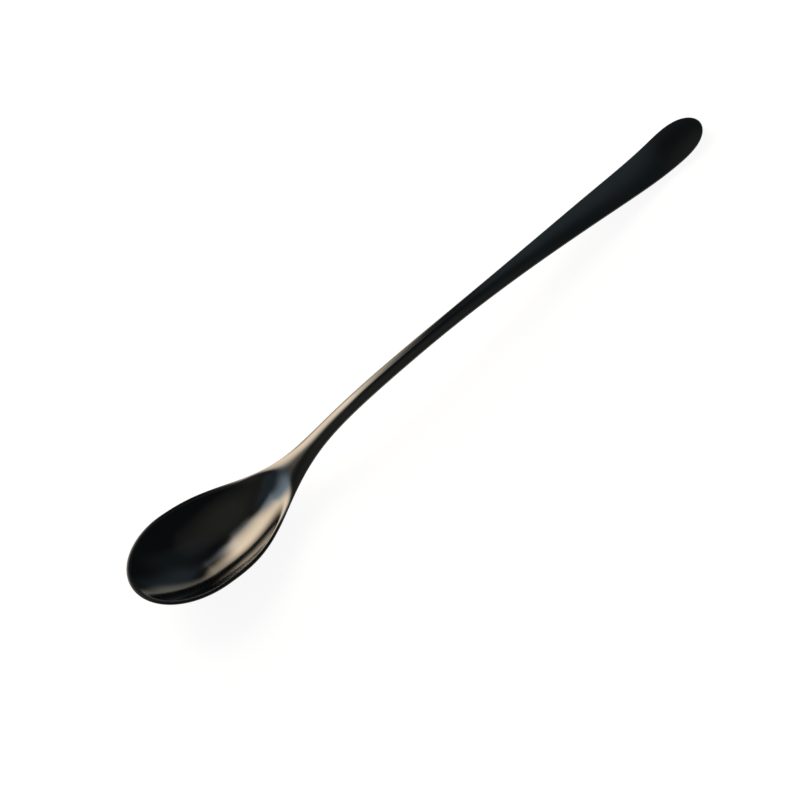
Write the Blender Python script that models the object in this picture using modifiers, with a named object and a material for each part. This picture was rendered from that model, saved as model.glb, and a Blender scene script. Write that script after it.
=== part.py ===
"""Long-handled spoon, pressed from one blank of stainless steel and coated black.

The spoon lies on a table as it does in use: the underside of the bowl and the end of the
handle touch z = 0. +X runs from the bowl to the end of the handle, +Z is up.
"""

import math

import bmesh
import bpy

# Sizes in millimetres.
LENGTH = 200.0
BOWL_WIDTH = 29.23
BOWL_FRONT = 17.76
SHOULDER_LENGTH = 25.81
NECK_WIDTH = 4.49
HANDLE_END_WIDTH = 12.88
END_ROUND = 14.0

# Heights of the upper edge above the table, from the bowl's tip to the end of the handle.
TIP_HEIGHT = 11.2
RIM_HEIGHT = 8.26
SHOULDER_HEIGHT = 5.0
RISE_HEIGHT = 6.12
NECK_HEIGHT = 8.52
CREST_HEIGHT = 10.25
MIDDLE_HEIGHT = 7.77
LOW_HEIGHT = 3.15
END_HEIGHT = 2.59

# Metal.
BOWL_THICKNESS = 1.2
RIM_LAND = 1.04
RIM_EDGE = 0.4
SHOULDER_LAND = 1.1
NECK_LAND = 0.3
SHOULDER_CROWN = 0.78
NECK_CROWN = 0.53
NECK_EDGE = 0.65
NECK_BELLY = 1.2
HANDLE_EDGE = 0.6
HANDLE_LAND = 0.4
HANDLE_CROWN = 0.45
HANDLE_BELLY = 0.8
EDGE_ROUND = 0.12
REST_FLAT = 0.25
CREASE = 0.105
SHOULDER_CREASE = 0.5

# Shape of the outline's curves, without units.
SHOULDER_POWER = 2.58
FLARE_POWER = 1.244
END_POWER = 2.92
CROWN_POWER = 7.6
BOWL_FULLNESS = 0.18

# Mesh counts.
COLUMNS = 16
BOWL_ROWS = 26
NECK_ROWS = 14
HANDLE_ROWS = 20
END_ROWS = 8
ROUND_SEGMENTS = 2

# Derived stations along the spoon, measured from the bowl's tip.
BOWL_END = BOWL_FRONT + 1.35 * SHOULDER_LENGTH
NECK_START = BOWL_FRONT + 1.6 * SHOULDER_LENGTH
CREST = NECK_START + 0.165 * (LENGTH - NECK_START)
FLARE_START = NECK_START + 0.227 * (LENGTH - NECK_START)
HEEL_HEIGHT = HANDLE_EDGE + HANDLE_BELLY
LAND_START = BOWL_FRONT + 0.714 * SHOULDER_LENGTH
LAND_END = BOWL_FRONT + 1.055 * SHOULDER_LENGTH
HOLLOW_START = BOWL_FRONT + 0.9 * SHOULDER_LENGTH
HOLLOW_END = BOWL_FRONT + 1.257 * SHOULDER_LENGTH
CROWN_START = BOWL_FRONT + 0.598 * SHOULDER_LENGTH
CROWN_DROP = BOWL_FRONT + 1.443 * SHOULDER_LENGTH
CROWN_TOP = BOWL_FRONT + 1.54 * SHOULDER_LENGTH
CROWN_LEVEL = BOWL_FRONT + 1.792 * SHOULDER_LENGTH
CROWN_END = BOWL_FRONT + 1.753 * SHOULDER_LENGTH
CROWN_FADE = NECK_START + 0.345 * (LENGTH - NECK_START)
CORNER = math.radians(47.0)
END_CORNER = 0.68


def smooth(t):
    t = min(max(t, 0.0), 1.0)
    return t * t * (3.0 - 2.0 * t)


def spline(xs, ys):
    """A natural cubic spline through the points, as a function."""
    n = len(xs)
    h = [xs[i + 1] - xs[i] for i in range(n - 1)]
    a = [0.0] * n
    b = [1.0] * n
    c = [0.0] * n
    d = [0.0] * n
    for i in range(1, n - 1):
        a[i] = h[i - 1]
        b[i] = 2.0 * (h[i - 1] + h[i])
        c[i] = h[i]
        d[i] = 6.0 * ((ys[i + 1] - ys[i]) / h[i] - (ys[i] - ys[i - 1]) / h[i - 1])
    for i in range(1, n):
        w = a[i] / b[i - 1]
        b[i] -= w * c[i - 1]
        d[i] -= w * d[i - 1]
    m = [0.0] * n
    for i in range(n - 2, 0, -1):
        m[i] = (d[i] - c[i] * m[i + 1]) / b[i]

    def value(x):
        x = min(max(x, xs[0]), xs[-1])
        i = 0
        while i < n - 2 and x > xs[i + 1]:
            i += 1
        p = xs[i + 1] - x
        q = x - xs[i]
        g = h[i]
        bend = (m[i] * p**3 + m[i + 1] * q**3) / (6.0 * g)
        return bend + (ys[i] / g - m[i] * g / 6.0) * p + (ys[i + 1] / g - m[i + 1] * g / 6.0) * q

    return value


edge_height = spline(
    [
        0.0,
        BOWL_FRONT,
        BOWL_FRONT + 0.8 * SHOULDER_LENGTH,
        BOWL_FRONT + 1.2 * SHOULDER_LENGTH,
        NECK_START,
        CREST,
        NECK_START + 0.47 * (LENGTH - NECK_START),
        NECK_START + 0.753 * (LENGTH - NECK_START),
        NECK_START + 0.9 * (LENGTH - NECK_START),
        LENGTH,
    ],
    [
        TIP_HEIGHT,
        RIM_HEIGHT,
        SHOULDER_HEIGHT,
        RISE_HEIGHT,
        NECK_HEIGHT,
        CREST_HEIGHT,
        MIDDLE_HEIGHT,
        LOW_HEIGHT,
        HEEL_HEIGHT,
        END_HEIGHT,
    ],
)


def along(x, bowl, neck, handle):
    """A value that runs from the bowl's, through the neck's, to the handle's."""
    to_neck = smooth((x - 0.8 * BOWL_END) / (NECK_START - 0.8 * BOWL_END))
    to_handle = smooth((x - NECK_START) / (LENGTH * 0.62 - NECK_START))
    value = bowl + (neck - bowl) * to_neck
    return value + (handle - neck) * to_handle


def inset(x, bowl, neck, handle):
    """How far a line lies inside the edge: the bowl's value, then the neck's, then the handle's."""
    to_neck = smooth((x - LAND_START) / (LAND_END - LAND_START))
    to_handle = smooth((x - NECK_START) / (LENGTH * 0.62 - NECK_START))
    return bowl + (neck - bowl) * to_neck + (handle - neck) * to_handle


class Outline:
    """Half the spoon's width along its length, for its edge or for the line inside its edge."""

    def __init__(self, bowl_inset, neck_inset, handle_inset):
        self.insets = bowl_inset, neck_inset, handle_inset
        self.bowl = BOWL_WIDTH / 2.0 - bowl_inset
        self.front = BOWL_FRONT - bowl_inset
        self.cap = END_ROUND - handle_inset

    def open_half(self, x):
        """The half width without the rounded front and the rounded end."""
        u = max(x - BOWL_FRONT, 0.0) / SHOULDER_LENGTH
        t = min(max((x - FLARE_START) / (LENGTH - FLARE_START), 0.0), 1.0)
        width = NECK_WIDTH + (BOWL_WIDTH - NECK_WIDTH) * math.exp(-(u**SHOULDER_POWER))
        width += (HANDLE_END_WIDTH - NECK_WIDTH) * smooth(t**FLARE_POWER)
        return max(width / 2.0 - inset(x, *self.insets), 0.0)

    def half(self, x):
        if x < BOWL_FRONT:
            u = min((BOWL_FRONT - x) / self.front, 1.0)
            return self.bowl * math.sqrt(1.0 - u * u)
        k = min(max((x - LENGTH + END_ROUND) / self.cap, 0.0), 1.0)
        return self.open_half(x) * math.sqrt(1.0 - k**END_POWER)

    def front_x(self, y):
        u = min(abs(y) / self.bowl, 1.0)
        return BOWL_FRONT - self.front * math.sqrt(1.0 - u * u)

    def end_x(self, y):
        """Where the rounded end has this half width, found by halving the interval."""
        low = LENGTH - END_ROUND
        high = low + self.cap
        for _ in range(50):
            middle = 0.5 * (low + high)
            if self.half(middle) > abs(y):
                low = middle
            else:
                high = middle
        return 0.5 * (low + high)


outer = Outline(0.0, 0.0, 0.0)
inner = Outline(RIM_LAND, NECK_LAND, HANDLE_LAND)
basin = Outline(RIM_LAND, SHOULDER_LAND, SHOULDER_LAND)


def edge_face(x):
    return along(x, RIM_EDGE, NECK_EDGE, HANDLE_EDGE)


def fuller(depth):
    """A share of the bowl's depth, made steeper by the rim and flatter at the bottom."""
    return depth * (1.0 + BOWL_FULLNESS * (1.0 - depth))


# The bowl is as deep outside as lets it rest on the table, less the flat worn under it.
steps = [BOWL_FRONT * 0.6 + 0.25 * i for i in range(int(4.0 * SHOULDER_LENGTH))]
OUTER_DEPTH = min(
    (edge_height(x) - edge_face(x) + REST_FLAT) / fuller((outer.half(x) / outer.bowl) ** 2)
    for x in steps
)
INNER_DEPTH = OUTER_DEPTH - REST_FLAT + RIM_EDGE - BOWL_THICKNESS


def room(outline, x, y):
    return max(outline.half(x) ** 2 - y * y, 0.0)


def soft_ramp(value, width):
    """Zero below zero and the value above it, with the corner rounded."""
    return 0.5 * (value + math.hypot(value, width))


def hollow_depth(x, y):
    """How deep the hollow of the bowl lies below its edge; its line softens at the shoulder."""
    corner = 2.0 * inset(x, CREASE, SHOULDER_CREASE, SHOULDER_CREASE) / basin.bowl
    border = basin.half(x) ** 2
    here = soft_ramp((border - y * y) / basin.bowl**2, corner)
    at_edge = soft_ramp((border - outer.half(x) ** 2) / basin.bowl**2, corner)
    fade = 1.0 - smooth((x - HOLLOW_START) / (HOLLOW_END - HOLLOW_START))
    return INNER_DEPTH * fade * fuller(here - at_edge)


def crown_height(x, y):
    """The rise of the neck and the handle between their edges, flatter at the shoulder."""
    rise = SHOULDER_CROWN * smooth((x - CROWN_START) / (CROWN_TOP - CROWN_START))
    rise += (NECK_CROWN - SHOULDER_CROWN) * smooth((x - CROWN_DROP) / (CROWN_LEVEL - CROWN_DROP))
    rise += (HANDLE_CROWN - NECK_CROWN) * smooth((x - NECK_START) / (CROWN_FADE - NECK_START))
    if x < BOWL_FRONT or outer.half(x) <= abs(y):
        return 0.0
    turn = smooth((x - BOWL_FRONT) / (CROWN_END - BOWL_FRONT))
    power = CROWN_POWER + (2.0 - CROWN_POWER) * turn
    rise *= (outer.half(x) / outer.open_half(x)) ** 2
    return rise * (1.0 - (abs(y) / outer.half(x)) ** power)


def top_height(x, y):
    return edge_height(x) + crown_height(x, y) - hollow_depth(x, y)


def bottom_height(x, y):
    across = room(outer, x, y)
    belly = along(x, 0.0, NECK_BELLY, HANDLE_BELLY) * across / outer.open_half(x) ** 2
    hull = along(x, OUTER_DEPTH, 0.0, 0.0) * fuller(across / outer.bowl**2)
    return max(edge_height(x) - edge_face(x) - belly - hull, 0.0)


def spread(first, last, count):
    return [first + (last - first) * i / count for i in range(count)]


FRONT_BLEND = BOWL_FRONT + 0.3 * SHOULDER_LENGTH
END_BLEND = LENGTH - 2.2 * END_ROUND

# Where each row of the inner grid meets the line inside the edge.
first_row = BOWL_FRONT - inner.front * math.cos(CORNER)
last_row = LENGTH - END_ROUND + inner.cap * END_CORNER
rows = spread(first_row, BOWL_END, BOWL_ROWS)
rows += spread(BOWL_END, FLARE_START, NECK_ROWS)
rows += spread(FLARE_START, END_BLEND, HANDLE_ROWS)
rows += spread(END_BLEND, last_row, END_ROWS)
rows.append(last_row)
ROWS = len(rows) + 1


def inner_point(i, v):
    """The plan point of an inner row at v, which runs from -1 to 1 across the spoon."""
    x = rows[i]
    y = v * inner.half(x)
    if x < FRONT_BLEND:
        arc = first_row - inner.front_x(v * inner.half(first_row))
        x -= arc * (1.0 - (x - first_row) / (FRONT_BLEND - first_row)) ** 2
    if x > END_BLEND:
        arc = inner.end_x(v * inner.half(last_row)) - last_row
        x += arc * (1.0 - (last_row - x) / (last_row - END_BLEND)) ** 2
    return x, y


def edge_point(x):
    """The point of the outer edge abreast of a point of the line inside it."""
    if x < BOWL_FRONT:
        x = BOWL_FRONT - (BOWL_FRONT - x) * outer.front / inner.front
    elif x > LENGTH - END_ROUND:
        x = LENGTH - END_ROUND + (x - LENGTH + END_ROUND) * outer.cap / inner.cap
    return x, outer.half(x)


def plan_point(row, column):
    """The plan point of a grid vertex, and whether it is on the outer edge."""
    at_end = row in (0, ROWS)
    at_side = column in (0, COLUMNS)
    i = min(max(row - 1, 0), ROWS - 2)
    half_columns = COLUMNS / 2.0 - 1.0
    v = (min(max(column, 1), COLUMNS - 1) - COLUMNS / 2.0) / half_columns
    if not at_end and not at_side:
        return (*inner_point(i, v), False)
    if at_side:
        # beside a corner of the grid the edge point moves off it, so that no two coincide
        x = rows[i]
        if not at_end and i == 0:
            x += 0.35 * (rows[1] - rows[0])
        elif not at_end and i == ROWS - 2:
            x -= 0.35 * (rows[-1] - rows[-2])
        x, y = edge_point(x)
        return x, math.copysign(y, v), True
    if abs(v) > 0.99:
        v *= 1.0 - 0.35 / half_columns
    y = v * edge_point(rows[i])[1]
    x = outer.front_x(y) if row == 0 else outer.end_x(y)
    return x, y, True


def build_spoon():
    bm = bmesh.new()
    # a flat sheet of quads, thickened once: the copy is the upper side, the first sheet the lower
    bmesh.ops.create_grid(bm, x_segments=ROWS, y_segments=COLUMNS, size=0.5)
    cells = {}
    for vert in bm.verts:
        row = round((vert.co.x + 0.5) * ROWS)
        column = round((vert.co.y + 0.5) * COLUMNS)
        cells[vert] = (row, column)
    lower = list(bm.verts)
    result = bmesh.ops.extrude_face_region(bm, geom=list(bm.faces), use_keep_orig=True)
    upper = [item for item in result["geom"] if isinstance(item, bmesh.types.BMVert)]
    below = {(round(v.co.x, 5), round(v.co.y, 5)): v for v in lower}
    places = {vert: (cells[vert], False) for vert in lower}
    for vert in upper:
        twin = below[(round(vert.co.x, 5), round(vert.co.y, 5))]
        places[vert] = (cells[twin], True)
    for vert, (cell, is_upper) in places.items():
        x, y, on_edge = plan_point(*cell)
        if is_upper:
            z = edge_height(x) if on_edge else top_height(x, y)
        else:
            z = bottom_height(x, y)
        vert.co = ((x - LENGTH / 2.0) / 1000.0, y / 1000.0, z / 1000.0)
    bmesh.ops.recalc_face_normals(bm, faces=bm.faces)
    # mark the two lines of the edge for rounding
    weight = bm.edges.layers.float.new("bevel_weight_edge")
    for edge in bm.edges:
        a, b = edge.verts
        same_side = places[a][1] == places[b][1]
        if same_side and plan_point(*places[a][0])[2] and plan_point(*places[b][0])[2]:
            ring = len({places[f_vert][1] for face in edge.link_faces for f_vert in face.verts}) == 2
            edge[weight] = 1.0 if ring else 0.0
    mesh = bpy.data.meshes.new("spoon")
    bm.to_mesh(mesh)
    bm.free()
    return mesh


def coated_steel():
    material = bpy.data.materials.new("black_coated_steel")
    material.use_nodes = True
    shader = material.node_tree.nodes["Principled BSDF"]
    shader.inputs["Base Color"].default_value = (0.02, 0.021, 0.023, 1.0)
    shader.inputs["Metallic"].default_value = 1.0
    shader.inputs["Roughness"].default_value = 0.25
    return material


for item in list(bpy.data.objects):
    bpy.data.objects.remove(item, do_unlink=True)

collection = bpy.data.collections.new("measuring_spoon")
bpy.context.scene.collection.children.link(collection)

spoon = bpy.data.objects.new("spoon", build_spoon())
collection.objects.link(spoon)
spoon.data.materials.append(coated_steel())
for polygon in spoon.data.polygons:
    polygon.use_smooth = True

rounding = spoon.modifiers.new("edge_rounding", "BEVEL")
rounding.limit_method = "WEIGHT"
rounding.width = EDGE_ROUND / 1000.0
rounding.segments = ROUND_SEGMENTS
rounding.use_clamp_overlap = True
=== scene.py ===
"""Looks of the long-handled spoon: its finished surface and coating, the floor, light and camera.

Lengths are in millimetres from the tip of the bowl, as the spoon was drawn, and become metres
in the frame's axes when the mesh is made.
"""

import math

import bmesh
import bpy
from mathutils import Matrix, Vector


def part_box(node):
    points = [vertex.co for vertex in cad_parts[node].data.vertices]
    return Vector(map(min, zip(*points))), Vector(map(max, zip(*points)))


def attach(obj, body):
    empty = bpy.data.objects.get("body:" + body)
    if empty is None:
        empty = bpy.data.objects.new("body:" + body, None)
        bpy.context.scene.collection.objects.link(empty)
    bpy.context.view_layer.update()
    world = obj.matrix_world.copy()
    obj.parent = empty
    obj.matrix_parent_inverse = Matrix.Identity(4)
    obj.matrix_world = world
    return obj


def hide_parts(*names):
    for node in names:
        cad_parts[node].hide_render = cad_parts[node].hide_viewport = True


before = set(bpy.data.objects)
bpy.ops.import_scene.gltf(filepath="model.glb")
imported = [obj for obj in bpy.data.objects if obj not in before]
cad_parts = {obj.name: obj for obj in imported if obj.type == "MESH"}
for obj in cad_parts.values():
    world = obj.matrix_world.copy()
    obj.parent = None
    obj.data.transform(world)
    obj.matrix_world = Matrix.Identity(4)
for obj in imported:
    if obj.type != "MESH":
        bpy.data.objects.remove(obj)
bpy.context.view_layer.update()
low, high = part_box("spoon")

MM = 0.001

# Sizes of the spoon that the frame gives.
LENGTH = (high.x - low.x) / MM
BOWL_WIDTH = (high.y - low.y) / MM
TIP_HEIGHT = (high.z - low.z) / MM

# Outline, seen from above.
BOWL_FRONT = 17.76
SHOULDER_LENGTH = 25.81
NECK_WIDTH = 4.49
HANDLE_END_WIDTH = 12.88
END_ROUND = 14.0

# Shape of the curves, without units.
SHOULDER_POWER = 2.58
FLARE_POWER = 1.244
END_POWER = 2.92
CROWN_POWER = 7.6
NECK_CROWN_POWER = 2.0
BOWL_FULLNESS = 0.18

# Heights of the upper edge above the table.
RIM_HEIGHT = 8.26
SHOULDER_HEIGHT = 5.0
RISE_HEIGHT = 6.12
NECK_HEIGHT = 8.52
CREST_HEIGHT = 10.25
MIDDLE_HEIGHT = 7.77
LOW_HEIGHT = 3.15
END_HEIGHT = 2.59

# Metal: its thickness, the flat land inside its edge, and how far it rises and bulges between edges.
BOWL_THICKNESS = 1.2
RIM_LAND = 1.04
RIM_EDGE = 0.4
SHOULDER_LAND = 1.1
SHOULDER_CROWN = 0.62
NECK_CROWN = 0.53
NECK_EDGE = 0.65
NECK_BELLY = 1.2
HANDLE_EDGE = 0.6
HANDLE_CROWN = 0.45
HANDLE_BELLY = 0.8
REST_FLAT = 0.25

# Rounding of the outer edge above and below, and of the line inside the rim.
RIM_ROUND = 0.08
NECK_ROUND = 0.1
HANDLE_ROUND = 0.2
LOWER_ROUND = 0.15
CREASE = 0.105
SHOULDER_CREASE = 0.5

# Stations along the spoon.
NECK_START = BOWL_FRONT + 1.6 * SHOULDER_LENGTH


def past_front(share):
    """A station on the shoulder, as a share of its length behind the bowl's widest place."""
    return BOWL_FRONT + share * SHOULDER_LENGTH


def past_neck(share):
    """A station on the handle, as a share of the way from the neck to the end."""
    return NECK_START + share * (LENGTH - NECK_START)


BOWL_END = past_front(1.35)
FLARE_START = past_neck(0.227)
CAP_START = LENGTH - END_ROUND
LAND_START = past_front(0.714)
LAND_END = past_front(1.055)
HOLLOW_START = past_front(0.9)
HOLLOW_END = past_front(1.257)
CROWN_START = past_front(0.598)
CROWN_DROP = past_front(1.443)
CROWN_TOP = past_front(1.54)
CROWN_LEVEL = past_front(1.792)
CROWN_END = past_front(1.753)
CROWN_FADE = past_neck(0.345)

# The metal's section begins to turn into the neck's at the first of these, and is the handle's
# from the second.
METAL_TURN = 0.8 * BOWL_END
HANDLE_FULL = 0.62 * LENGTH

# The places under the bowl that are tried for where it rests on the table.
SEARCH_START = 0.6 * BOWL_FRONT
SEARCH_STEP = 0.25

# The height of the upper edge at each station. At the heel the handle's underside meets the table.
HEEL_HEIGHT = HANDLE_EDGE + HANDLE_BELLY
EDGE_PROFILE = (
    (0.0, TIP_HEIGHT),
    (BOWL_FRONT, RIM_HEIGHT),
    (past_front(0.8), SHOULDER_HEIGHT),
    (past_front(1.2), RISE_HEIGHT),
    (NECK_START, NECK_HEIGHT),
    (past_neck(0.165), CREST_HEIGHT),
    (past_neck(0.47), MIDDLE_HEIGHT),
    (past_neck(0.753), LOW_HEIGHT),
    (past_neck(0.9), HEEL_HEIGHT),
    (LENGTH, END_HEIGHT),
)

# Mesh: steps along the outline, rings of the upper side, the lower side and the rounded edges, and
# the decimals to which points of a ring have to agree to be one vertex.
FRONT_STEPS = 48
BOWL_STEPS = 72
NECK_STEPS = 56
HANDLE_STEPS = 76
CAP_STEPS = 32
INNER_RINGS = 24
BOTTOM_RINGS = 16
ROUND_STEPS = 6
MERGE_DIGITS = 6

# The rings lie close together over the line inside the rim, where the bowl's side turns into the
# flat rim: how far inside that line each lies, and where the first lies on the neck and handle.
CREASE_RINGS = (0.7, 0.45, 0.3, 0.2, 0.12, 0.06, 0.0, -0.06, -0.12, -0.2, -0.3)
NECK_WITHIN = 0.5
HANDLE_WITHIN = 0.9

# Coating: the range of its tone and of its roughness, the noise that moves each through its range,
# with its scale per metre, and the limits between which the noise counts.
DARK_TONE = (0.044, 0.0435, 0.043, 1.0)
PALE_TONE = (0.051, 0.0505, 0.05, 1.0)
SMOOTHEST = 0.09
ROUGHEST = 0.12
TONE_SCALE = 90.0
TONE_DETAIL = 3.0
GLOSS_SCALE = 160.0
GLOSS_DETAIL = 4.0
NOISE_LOW = 0.3
NOISE_HIGH = 0.7

# Floor: its size and how far it lies below the spoon in metres, its tone, and how bright it shows.
FLOOR_SIZE = 30.0
FLOOR_DROP = 0.0001
FLOOR_TONE = 0.12
FLOOR_GLOW = 0.92

# Room: the walls have one tone up to a height on the unit sphere, and the ceiling another from a
# greater height.
WALL_TOP = 0.8
WALL_TONE = (0.06, 0.07, 0.078, 1.0)
CEILING_START = 0.97
CEILING_TONE = (0.28, 0.285, 0.25, 1.0)

# Panel lights stand round a point in the bowl, at a distance in metres. Each has a name, azimuths,
# elevations, radiance and colour. Its light rises from the first angle to the second and falls
# from the third to the fourth. Angles are in degrees, seen from that point, and azimuths run
# clockwise from +Y.
LIT_STATION = 27.0
LIT_HEIGHT = 6.0
BOWL_CENTRE = Vector((low.x + LIT_STATION * MM, 0.0, LIT_HEIGHT * MM))
PANEL_DISTANCE = 1.5
PANELS = (
    ("key", (-30, -13, 9.5, 25), (2, 27, 31, 58), 13.6, (1.0, 0.83, 0.615)),
    ("sky_above", (-24, -10, 12, 20), (36, 50, 51, 65), 1.65, (0.86, 0.95, 1.0)),
    ("sky_right", (8, 18, 20, 31), (29, 40, 42, 51), 2.7, (0.9, 0.96, 1.0)),
    ("sky_left", (-47, -29, -28, -14), (12, 21, 43, 52), 3.7, (0.64, 0.82, 1.0)),
    ("sky_far_left", (-90, -76, -48, -20), (3, 13, 55, 65), 0.3, (0.6, 0.83, 1.0)),
    ("sill", (8, 18, 38, 56), (-1.5, 1, 6, 20), 1.25, (1.0, 0.94, 0.76)),
    ("fill", (25, 36, 40, 76), (2, 14, 27, 47), 0.3, (0.64, 0.87, 1.0)),
    ("wall", (32, 52, 84, 108), (22, 40, 56, 74), 0.085, (0.68, 0.92, 1.0)),
    ("back", (102, 140, 186, 226), (0.5, 4, 8, 21), 1.3, (1.0, 0.96, 0.9)),
)

# Camera: the way it looks, its roll and its field of view in degrees, its distance and the point
# that it looks at in millimetres, and the nearest depth that it shows in metres.
LOOK_AZIMUTH = 23.218
LOOK_DOWN = 53.152
CAMERA_ROLL = -22.807
CAMERA_VIEW = 28.025
CAMERA_DISTANCE = 408.75
AIM_X = 81.382
AIM_Y = -7.263
AIM_HEIGHT = 7.367
CLIP_START = 0.01


def smooth(t):
    t = min(max(t, 0.0), 1.0)
    return t * t * (3.0 - 2.0 * t)


def spline(xs, ys):
    """A natural cubic spline through the points, as a function."""
    n = len(xs)
    h = [xs[i + 1] - xs[i] for i in range(n - 1)]
    a = [0.0] * n
    b = [1.0] * n
    c = [0.0] * n
    d = [0.0] * n
    for i in range(1, n - 1):
        a[i] = h[i - 1]
        b[i] = 2.0 * (h[i - 1] + h[i])
        c[i] = h[i]
        d[i] = 6.0 * ((ys[i + 1] - ys[i]) / h[i] - (ys[i] - ys[i - 1]) / h[i - 1])
    for i in range(1, n):
        w = a[i] / b[i - 1]
        b[i] -= w * c[i - 1]
        d[i] -= w * d[i - 1]
    m = [0.0] * n
    for i in range(n - 2, 0, -1):
        m[i] = (d[i] - c[i] * m[i + 1]) / b[i]

    def value(x):
        x = min(max(x, xs[0]), xs[-1])
        i = 0
        while i < n - 2 and x > xs[i + 1]:
            i += 1
        p = xs[i + 1] - x
        q = x - xs[i]
        g = h[i]
        bend = (m[i] * p**3 + m[i + 1] * q**3) / (6.0 * g)
        return bend + (ys[i] / g - m[i] * g / 6.0) * p + (ys[i + 1] / g - m[i + 1] * g / 6.0) * q

    return value


edge_height = spline(*zip(*EDGE_PROFILE))


def along(x, bowl, neck, handle):
    """A value that runs from the bowl's, through the neck's, to the handle's."""
    to_neck = smooth((x - METAL_TURN) / (NECK_START - METAL_TURN))
    to_handle = smooth((x - NECK_START) / (HANDLE_FULL - NECK_START))
    return bowl + (neck - bowl) * to_neck + (handle - neck) * to_handle


def inset(x, bowl, neck, handle):
    """How far a line lies inside the edge: the bowl's value, then the neck's, then the handle's."""
    to_neck = smooth((x - LAND_START) / (LAND_END - LAND_START))
    to_handle = smooth((x - NECK_START) / (HANDLE_FULL - NECK_START))
    return bowl + (neck - bowl) * to_neck + (handle - neck) * to_handle


class Outline:
    """The spoon's outline drawn in by a distance, which may differ along the spoon."""

    def __init__(self, bowl_inset, neck_inset, handle_inset):
        self.insets = bowl_inset, neck_inset, handle_inset
        self.bowl = BOWL_WIDTH / 2.0 - bowl_inset
        self.front = BOWL_FRONT - bowl_inset
        self.cap = END_ROUND - handle_inset

    def open_half(self, x):
        """The half width without the rounded front and the rounded end."""
        u = max(x - BOWL_FRONT, 0.0) / SHOULDER_LENGTH
        t = min(max((x - FLARE_START) / (LENGTH - FLARE_START), 0.0), 1.0)
        width = NECK_WIDTH + (BOWL_WIDTH - NECK_WIDTH) * math.exp(-(u**SHOULDER_POWER))
        width += (HANDLE_END_WIDTH - NECK_WIDTH) * smooth(t**FLARE_POWER)
        return max(width / 2.0 - inset(x, *self.insets), 0.0)

    def square(self, x):
        """The half width squared, below zero beyond the front and the end."""
        if x < BOWL_FRONT:
            return self.bowl**2 * (1.0 - ((BOWL_FRONT - x) / self.front) ** 2)
        k = max((x - CAP_START) / self.cap, 0.0)
        return self.open_half(x) ** 2 * (1.0 - k**END_POWER)

    def point(self, station):
        """The plan point of the outline at a station of the perimeter."""
        part, value = station
        if part == "front":
            return BOWL_FRONT - self.front * math.cos(value), self.bowl * math.sin(value)
        if part == "cap":
            k = math.sin(value) ** (2.0 / END_POWER)
            x = CAP_START + self.cap * k
            return x, self.open_half(x) * math.cos(value)
        return value, self.open_half(value)


outer = Outline(0.0, 0.0, 0.0)
basin = Outline(RIM_LAND, SHOULDER_LAND, SHOULDER_LAND)


def edge_face(x):
    """The thickness of the metal at the edge."""
    return along(x, RIM_EDGE, NECK_EDGE, HANDLE_EDGE)


def fuller(depth):
    """A share of the bowl's depth, made steeper by the rim and flatter at the bottom."""
    return depth * (1.0 + BOWL_FULLNESS * (1.0 - depth))


def deepest_hull():
    """The bowl's depth outside, which lets it rest on the table with a small flat under it."""
    count = int(SHOULDER_LENGTH / SEARCH_STEP)
    places = [SEARCH_START + SEARCH_STEP * i for i in range(count)]
    return min(
        (edge_height(x) - edge_face(x) + REST_FLAT) / fuller(outer.square(x) / outer.bowl**2)
        for x in places
    )


OUTER_DEPTH = deepest_hull()
INNER_DEPTH = OUTER_DEPTH - REST_FLAT + RIM_EDGE - BOWL_THICKNESS


def soft_ramp(value, width):
    """Zero below zero and the value above it, with the corner rounded."""
    return 0.5 * (value + math.hypot(value, width))


def hollow_depth(x, y):
    """How deep the hollow of the bowl lies below its edge; its line softens at the shoulder."""
    corner = 2.0 * inset(x, CREASE, SHOULDER_CREASE, SHOULDER_CREASE) / basin.bowl
    border = basin.square(x)
    here = soft_ramp((border - y * y) / basin.bowl**2, corner)
    at_edge = soft_ramp((border - outer.square(x)) / basin.bowl**2, corner)
    fade = 1.0 - smooth((x - HOLLOW_START) / (HOLLOW_END - HOLLOW_START))
    return INNER_DEPTH * fade * fuller(here - at_edge)


def crown_height(x, y):
    """The rise of the neck and the handle between their edges, flatter at the shoulder."""
    square = outer.square(x)
    if x < BOWL_FRONT or square <= y * y:
        return 0.0
    to_level = smooth((x - CROWN_DROP) / (CROWN_LEVEL - CROWN_DROP))
    rise = SHOULDER_CROWN * smooth((x - CROWN_START) / (CROWN_TOP - CROWN_START))
    rise += (NECK_CROWN - SHOULDER_CROWN) * to_level
    rise += (HANDLE_CROWN - NECK_CROWN) * smooth((x - NECK_START) / (CROWN_FADE - NECK_START))
    turn = smooth((x - BOWL_FRONT) / (CROWN_END - BOWL_FRONT))
    power = CROWN_POWER + (NECK_CROWN_POWER - CROWN_POWER) * turn
    rise *= square / outer.open_half(x) ** 2
    return rise * (1.0 - (y * y / square) ** (power / 2.0))


def top_height(x, y):
    return edge_height(x) + crown_height(x, y) - hollow_depth(x, y)


def bottom_height(x, y):
    across = max(outer.square(x) - y * y, 0.0)
    belly = along(x, 0.0, NECK_BELLY, HANDLE_BELLY) * across / outer.open_half(x) ** 2
    hull = along(x, OUTER_DEPTH, 0.0, 0.0) * fuller(across / outer.bowl**2)
    return max(edge_height(x) - edge_face(x) - belly - hull, 0.0)


def spread(first, last, count):
    return [first + (last - first) * i / count for i in range(count)]


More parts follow.
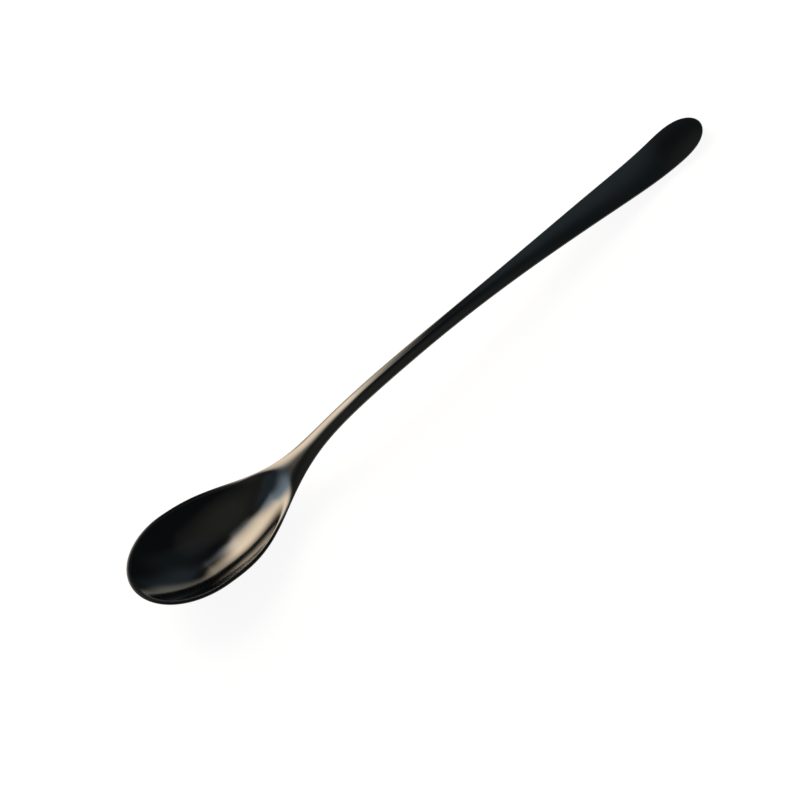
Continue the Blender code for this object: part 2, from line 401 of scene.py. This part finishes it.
def perimeter():
    """Stations along one side of the outline, from the tip to the end of the handle."""
    quarter = math.pi / 2.0
    side = [("front", value) for value in spread(0.0, quarter, FRONT_STEPS)]
    side += [("side", x) for x in spread(BOWL_FRONT, NECK_START, BOWL_STEPS)]
    side += [("side", x) for x in spread(NECK_START, FLARE_START, NECK_STEPS)]
    side += [("side", x) for x in spread(FLARE_START, CAP_START, HANDLE_STEPS)]
    side += [("cap", value) for value in spread(0.0, quarter, CAP_STEPS)]
    return side + [("cap", quarter)]


stations = perimeter()


def ring_points(outline, fraction=1.0):
    """Plan points round an outline, drawn towards the spoon's middle line by the fraction."""
    side = []
    for station in stations:
        x, y = outline.point(station)
        if station[0] == "front":
            x = BOWL_FRONT + fraction * (x - BOWL_FRONT)
        elif station[0] == "cap":
            x = CAP_START + fraction * (x - CAP_START)
        side.append((x, fraction * y))
    back = [(x, -y) for x, y in side[-2:0:-1]]
    return side + back


def add_ring(bm, points, height):
    """A closed ring of vertices at a height given as a function of the plan point."""
    origin = Vector(((low.x + high.x) / 2.0, 0.0, low.z))
    ring = []
    placed = {}
    for x, y in points:
        key = (round(x, MERGE_DIGITS), round(y, MERGE_DIGITS))
        if key not in placed:
            place = Vector((x - LENGTH / 2.0, y, height(x, y))) * MM
            placed[key] = bm.verts.new(place + origin)
        ring.append(placed[key])
    return ring


def bridge(bm, ring, following):
    """Faces between two rings; corners that fall together make a triangle or nothing."""
    count = len(ring)
    for i in range(count):
        j = (i + 1) % count
        corners = dict.fromkeys((ring[i], ring[j], following[j], following[i]))
        if len(corners) > 2:
            bm.faces.new(list(corners))


def upper_rings(bm):
    """Rings from the middle of the upper side out to its rounded edge."""
    widest = CREASE_RINGS[0]
    within = Outline(RIM_LAND + widest, NECK_WITHIN, HANDLE_WITHIN)
    rings = []
    for i in range(INNER_RINGS):
        rings.append(add_ring(bm, ring_points(within, i / INNER_RINGS), top_height))
    for inside in CREASE_RINGS:
        share = (RIM_LAND + inside - RIM_ROUND) / (RIM_LAND + widest - RIM_ROUND)
        outline = Outline(
            RIM_LAND + inside,
            NECK_ROUND + (NECK_WITHIN - NECK_ROUND) * share,
            HANDLE_ROUND + (HANDLE_WITHIN - HANDLE_ROUND) * share,
        )
        rings.append(add_ring(bm, ring_points(outline), top_height))
    return rings


def below_top(share):
    """A function for the upper side's height less a share of the rounding there."""
    return lambda x, y: top_height(x, y) - share * along(x, RIM_ROUND, NECK_ROUND, HANDLE_ROUND)


def above_bottom(rise):
    """A function for the underside's height plus a rise."""
    return lambda x, y: bottom_height(x, y) + rise


def edge_rings(bm):
    """Rings over the rounded upper edge and down round the lower one."""
    turns = spread(0.0, math.pi / 2.0, ROUND_STEPS) + [math.pi / 2.0]
    rings = []
    for turn in turns:
        share = 1.0 - math.sin(turn)
        outline = Outline(RIM_ROUND * share, NECK_ROUND * share, HANDLE_ROUND * share)
        rings.append(add_ring(bm, ring_points(outline), below_top(1.0 - math.cos(turn))))
    for turn in turns:
        drawn_in = LOWER_ROUND * (1.0 - math.cos(turn))
        outline = Outline(drawn_in, drawn_in, drawn_in)
        rise = LOWER_ROUND * (1.0 - math.sin(turn))
        rings.append(add_ring(bm, ring_points(outline), above_bottom(rise)))
    return rings


def lower_rings(bm):
    """Rings from the lower edge in to the middle of the underside."""
    under = Outline(LOWER_ROUND, LOWER_ROUND, LOWER_ROUND)
    rings = []
    for i in range(BOTTOM_RINGS - 1, -1, -1):
        rings.append(add_ring(bm, ring_points(under, i / BOTTOM_RINGS), bottom_height))
    return rings


def build_spoon():
    bm = bmesh.new()
    rings = upper_rings(bm) + edge_rings(bm) + lower_rings(bm)
    for ring, following in zip(rings, rings[1:]):
        bridge(bm, ring, following)
    bmesh.ops.recalc_face_normals(bm, faces=bm.faces)
    mesh = bpy.data.meshes.new("coated_spoon")
    bm.to_mesh(mesh)
    bm.free()
    mesh.polygons.foreach_set("use_smooth", [True] * len(mesh.polygons))
    return mesh


def black_coating():
    """Black coating on polished steel: dark, satin, with a faint unevenness of tone and gloss."""
    material = bpy.data.materials.new("black_coating")
    material.use_nodes = True
    nodes = material.node_tree.nodes
    links = material.node_tree.links
    shader = nodes["Principled BSDF"]
    shader.inputs["Metallic"].default_value = 1.0
    place = nodes.new("ShaderNodeTexCoord")

    def noise(scale, detail):
        node = nodes.new("ShaderNodeTexNoise")
        node.inputs["Scale"].default_value = scale
        node.inputs["Detail"].default_value = detail
        links.new(place.outputs["Object"], node.inputs["Vector"])
        return node.outputs["Fac"]

    tone = nodes.new("ShaderNodeValToRGB")
    dark, pale = tone.color_ramp.elements
    dark.position = NOISE_LOW
    dark.color = DARK_TONE
    pale.position = NOISE_HIGH
    pale.color = PALE_TONE
    links.new(noise(TONE_SCALE, TONE_DETAIL), tone.inputs["Fac"])
    links.new(tone.outputs["Color"], shader.inputs["Base Color"])

    gloss = nodes.new("ShaderNodeMapRange")
    gloss.inputs["From Min"].default_value = NOISE_LOW
    gloss.inputs["From Max"].default_value = NOISE_HIGH
    gloss.inputs["To Min"].default_value = SMOOTHEST
    gloss.inputs["To Max"].default_value = ROUGHEST
    links.new(noise(GLOSS_SCALE, GLOSS_DETAIL), gloss.inputs["Value"])
    links.new(gloss.outputs["Result"], shader.inputs["Roughness"])
    return material


def combine(tree, operation, first, second):
    """A Math node of two outputs, and its own output."""
    node = tree.nodes.new("ShaderNodeMath")
    node.operation = operation
    tree.links.new(first, node.inputs[0])
    tree.links.new(second, node.inputs[1])
    return node.outputs["Value"]


def white_floor():
    """A white sheet that shows mostly its own brightness, also in reflections: faint shadows."""
    material = bpy.data.materials.new("white_floor")
    material.use_nodes = True
    tree = material.node_tree
    nodes = tree.nodes
    links = tree.links
    nodes.clear()
    path = nodes.new("ShaderNodeLightPath").outputs
    seen = combine(tree, "ADD", path["Is Camera Ray"], path["Is Glossy Ray"])
    seen = combine(tree, "ADD", seen, path["Is Transmission Ray"])
    strength = nodes.new("ShaderNodeMath")
    strength.operation = "MULTIPLY"
    strength.inputs[1].default_value = FLOOR_GLOW
    links.new(seen, strength.inputs[0])
    glow = nodes.new("ShaderNodeEmission")
    links.new(strength.outputs["Value"], glow.inputs["Strength"])
    sheet = nodes.new("ShaderNodeBsdfDiffuse")
    sheet.inputs["Color"].default_value = (FLOOR_TONE, FLOOR_TONE, FLOOR_TONE, 1.0)
    both = nodes.new("ShaderNodeAddShader")
    links.new(glow.outputs["Emission"], both.inputs[0])
    links.new(sheet.outputs["BSDF"], both.inputs[1])
    output = nodes.new("ShaderNodeOutputMaterial")
    links.new(both.outputs["Shader"], output.inputs["Surface"])
    return material


def add_floor():
    bpy.ops.mesh.primitive_plane_add(size=FLOOR_SIZE, location=(0.0, 0.0, low.z - FLOOR_DROP))
    floor = bpy.context.object
    floor.name = "floor"
    floor.data.materials.append(white_floor())


def direction(azimuth, elevation):
    """A unit vector; azimuth 0 is +Y and 90 is +X, both angles in degrees."""
    a = math.radians(azimuth)
    e = math.radians(elevation)
    return Vector((math.sin(a) * math.cos(e), math.cos(a) * math.cos(e), math.sin(e)))


def fade_to_edges(light, across, upwards):
    """Fade a panel's light in and out: four places, from 0 to 1, across it and up it."""
    light.use_nodes = True
    tree = light.node_tree
    place = tree.nodes.new("ShaderNodeNewGeometry")
    split = tree.nodes.new("ShaderNodeSeparateXYZ")
    tree.links.new(place.outputs["Parametric"], split.inputs["Vector"])
    fades = []
    for axis, places in (("X", across), ("Y", upwards)):
        for dark, bright in (places[:2], places[:1:-1]):
            fade = tree.nodes.new("ShaderNodeMapRange")
            fade.interpolation_type = "SMOOTHSTEP"
            fade.inputs["From Min"].default_value = dark
            fade.inputs["From Max"].default_value = bright
            tree.links.new(split.outputs[axis], fade.inputs["Value"])
            fades.append(fade.outputs["Result"])
    strength = fades[0]
    for fade in fades[1:]:
        strength = combine(tree, "MULTIPLY", strength, fade)
    tree.links.new(strength, tree.nodes["Emission"].inputs["Strength"])


def add_panel(name, azimuths, elevations, radiance, colour):
    """An upright panel light with soft edges, as a window with a thin curtain."""
    middle = 0.5 * (azimuths[0] + azimuths[3])
    reach = [PANEL_DISTANCE * math.tan(math.radians(middle - angle)) for angle in azimuths]
    rise = [PANEL_DISTANCE * math.tan(math.radians(angle)) for angle in elevations]
    light = bpy.data.lights.new(name, "AREA")
    light.shape = "RECTANGLE"
    light.size = reach[0] - reach[3]
    light.size_y = rise[3] - rise[0]
    light.energy = radiance * math.pi * light.size * light.size_y
    light.color = colour
    across = [(place - reach[3]) / light.size for place in reach]
    upwards = [(place - rise[0]) / light.size_y for place in rise]
    fade_to_edges(light, across, upwards)
    panel = bpy.data.objects.new(name, light)
    towards = direction(middle, 0.0)
    height = Vector((0.0, 0.0, 0.5 * (rise[0] + rise[3])))
    panel.location = BOWL_CENTRE + towards * PANEL_DISTANCE + height
    panel.rotation_mode = "QUATERNION"
    panel.rotation_quaternion = towards.to_track_quat("Z", "Y")
    panel.visible_camera = False
    bpy.context.scene.collection.objects.link(panel)


def add_world():
    """A dark room with a dim ceiling."""
    world = bpy.data.worlds.new("room")
    bpy.context.scene.world = world
    world.use_nodes = True
    nodes = world.node_tree.nodes
    links = world.node_tree.links
    place = nodes.new("ShaderNodeTexCoord")
    split = nodes.new("ShaderNodeSeparateXYZ")
    links.new(place.outputs["Generated"], split.inputs["Vector"])
    ramp = nodes.new("ShaderNodeValToRGB")
    wall, ceiling = ramp.color_ramp.elements
    wall.position = WALL_TOP
    wall.color = WALL_TONE
    ceiling.position = CEILING_START
    ceiling.color = CEILING_TONE
    links.new(split.outputs["Z"], ramp.inputs["Fac"])
    links.new(ramp.outputs["Color"], nodes["Background"].inputs["Color"])


def add_camera():
    data = bpy.data.cameras.new("camera")
    data.angle = math.radians(CAMERA_VIEW)
    data.clip_start = CLIP_START
    camera = bpy.data.objects.new("camera", data)
    bpy.context.scene.collection.objects.link(camera)
    aim = Vector((AIM_X - LENGTH / 2.0, AIM_Y, AIM_HEIGHT)) * MM
    back = -direction(LOOK_AZIMUTH, -LOOK_DOWN)
    turn = back.to_track_quat("Z", "Y").to_matrix().to_4x4()
    roll = Matrix.Rotation(math.radians(CAMERA_ROLL), 4, "Z")
    camera.matrix_world = Matrix.Translation(aim + back * CAMERA_DISTANCE * MM) @ turn @ roll
    bpy.context.scene.camera = camera


spoon = bpy.data.objects.new("coated_spoon", build_spoon())
bpy.context.scene.collection.objects.link(spoon)
spoon.data.materials.append(black_coating())
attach(spoon, "root")
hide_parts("spoon")

add_floor()
add_world()
for panel in PANELS:
    add_panel(*panel)
add_camera()
bpy.context.scene.view_settings.view_transform = "Standard"
